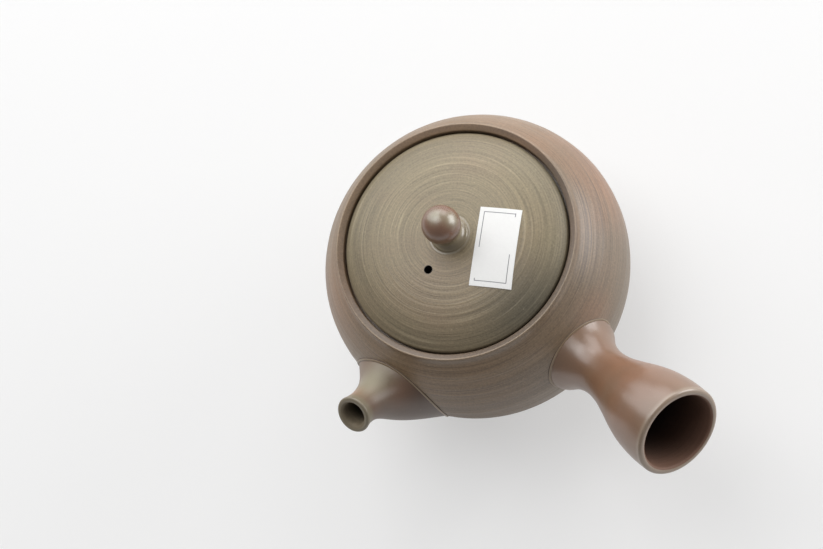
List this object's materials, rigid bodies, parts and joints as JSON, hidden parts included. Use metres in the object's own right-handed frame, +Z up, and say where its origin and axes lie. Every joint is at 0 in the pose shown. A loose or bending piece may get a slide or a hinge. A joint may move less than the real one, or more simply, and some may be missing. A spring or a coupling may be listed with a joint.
{
  "type": "side-handled teapot",
  "caption": "Thrown stoneware teapot with a hollow side handle, a short pouring spout, a strainer inside and a loose lid with a ball knob.",
  "frame": {"origin": "centre of the flat foot that the pot stands on", "axes": "+Z up the axis that the pot was turned about, +X along the side handle, with the spout towards -Y, clockwise of the handle seen from above. The picture shows the pot laid over on its belly, spout tip and handle end; the row stores it upright."},
  "size_m": [0.1581, 0.1231, 0.0892],
  "materials": {
    "turned_clay": "unglazed stoneware, fine turning lines, satin",
    "smooth_clay": "unglazed stoneware, burnished smooth, soft sheen",
    "lid_clay": "unglazed stoneware, greyer from the kiln, combed turning lines, satin",
    "inner_clay": "unglazed stoneware, matt",
    "label_paper": "smooth white paper with a thin grey printed frame, no lettering"
  },
  "bodies": {
    "pot": {"body": "turned_clay", "spout": "smooth_clay", "handle": "smooth_clay", "strainer": "inner_clay"},
    "lid_seat": {"lid_ring": "lid_clay"},
    "lid": {"lid": "lid_clay", "knob": "smooth_clay", "label": "label_paper"}
  },
  "joints": [
    {"name": "lid_lift", "type": "slide", "parent": "pot", "child": "lid_seat", "axis": [0, 0, 1], "range_m": [0, 0.06]},
    {"name": "lid_turn", "type": "hinge", "parent": "lid_seat", "child": "lid", "pos_m": [0, 0, 0.0624], "axis": [0, 0, 1], "continuous": true}
  ]
}
